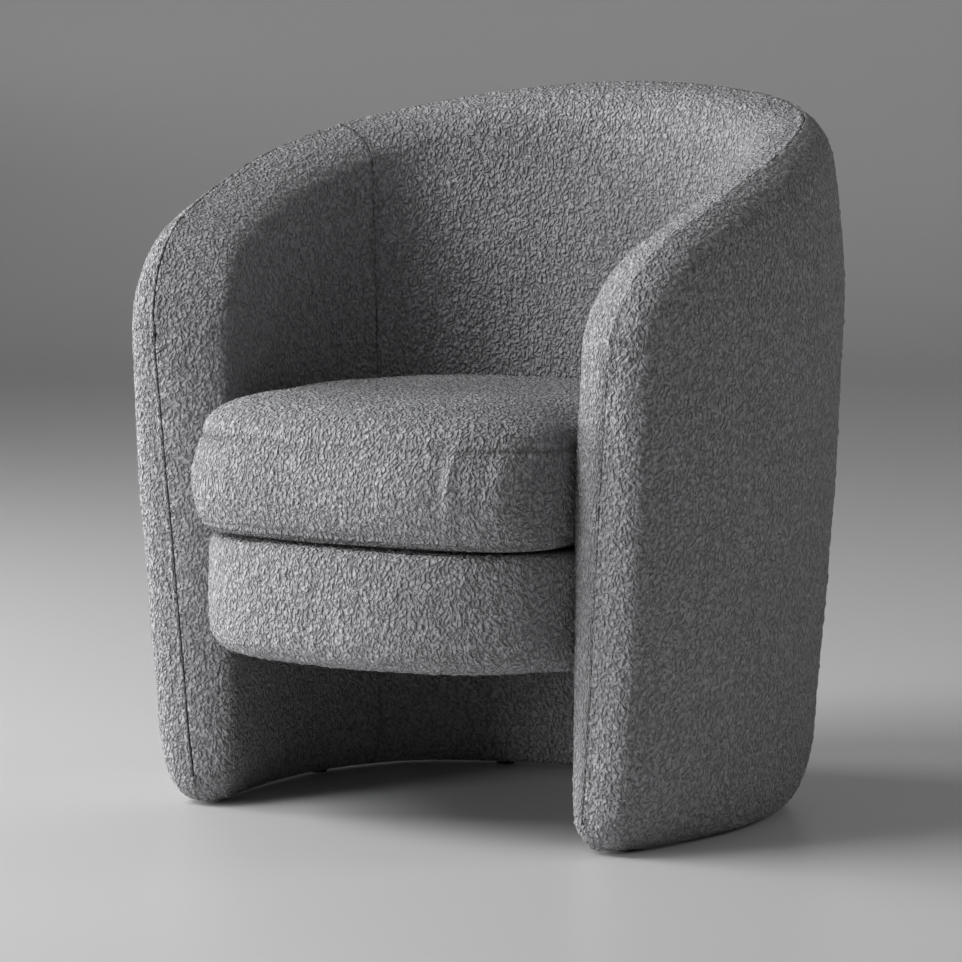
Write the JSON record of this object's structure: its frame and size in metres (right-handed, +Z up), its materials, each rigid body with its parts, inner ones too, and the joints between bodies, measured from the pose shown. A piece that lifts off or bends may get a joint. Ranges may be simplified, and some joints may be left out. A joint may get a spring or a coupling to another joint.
{
  "type": "tub chair",
  "caption": "Upholstered tub chair in grey boucle: one curved wall to the floor on low glides, sprung seat deck and a loose D-shaped cushion with a zip at its back.",
  "frame": {"origin": "on the floor, at the middle of the chair's footprint", "axes": "+Z up, the open front faces -Y, +X to the right of a person who looks along +Y at the chair's front"},
  "size_m": [0.6948, 0.6147, 0.7425],
  "materials": {
    "boucle": "matte",
    "foam": "matte",
    "wadding": "matte",
    "black_cloth": "matte",
    "burlap": "matte",
    "board": "matte",
    "plywood": "satin",
    "beech": "satin",
    "steel": "satin",
    "nylon": "matte"
  },
  "bodies": {
    "chair": {"outside_cover": "boucle", "inside_back_cover": "boucle", "inside_arm_cover_left": "boucle", "inside_arm_cover_right": "boucle", "crest_seam": "boucle", "outside_padding": "foam", "inside_padding": "foam", "outside_liner": "board", "inside_liner": "board", "base_ring": "plywood", "wall_ribs": "plywood", "front_posts": "plywood", "top_rail": "beech", "glides": "nylon", "glide_nails": "steel", "deck_cover": "boucle", "deck_foam": "foam", "insulator": "burlap", "seat_springs": "steel", "spring_clips": "steel", "tie_wires": "steel", "front_seat_rail": "beech", "side_seat_rails": "beech", "back_seat_rail": "beech", "corner_blocks": "beech", "dust_cover": "black_cloth", "seat_screws": "steel"},
    "seat_cushion": {"cushion_top_panel": "boucle", "cushion_boxing": "boucle", "cushion_bottom_panel": "boucle", "cushion_seams": "boucle", "cushion_wrap": "wadding", "cushion_core": "foam", "zip_tape": "black_cloth"},
    "slider": {"zip_slider": "steel", "zip_pull": "steel"}
  },
  "joints": [
    {"name": "cushion_lift", "type": "slide", "parent": "chair", "child": "seat_cushion", "axis": [0, 0, 1], "range_m": [0, 0.45]},
    {"name": "zip_run", "type": "hinge", "parent": "seat_cushion", "child": "slider", "pos_m": [0, -0.156, 0.3458], "axis": [0, 0, 1], "range_deg": [0, 44.8]}
  ]
}
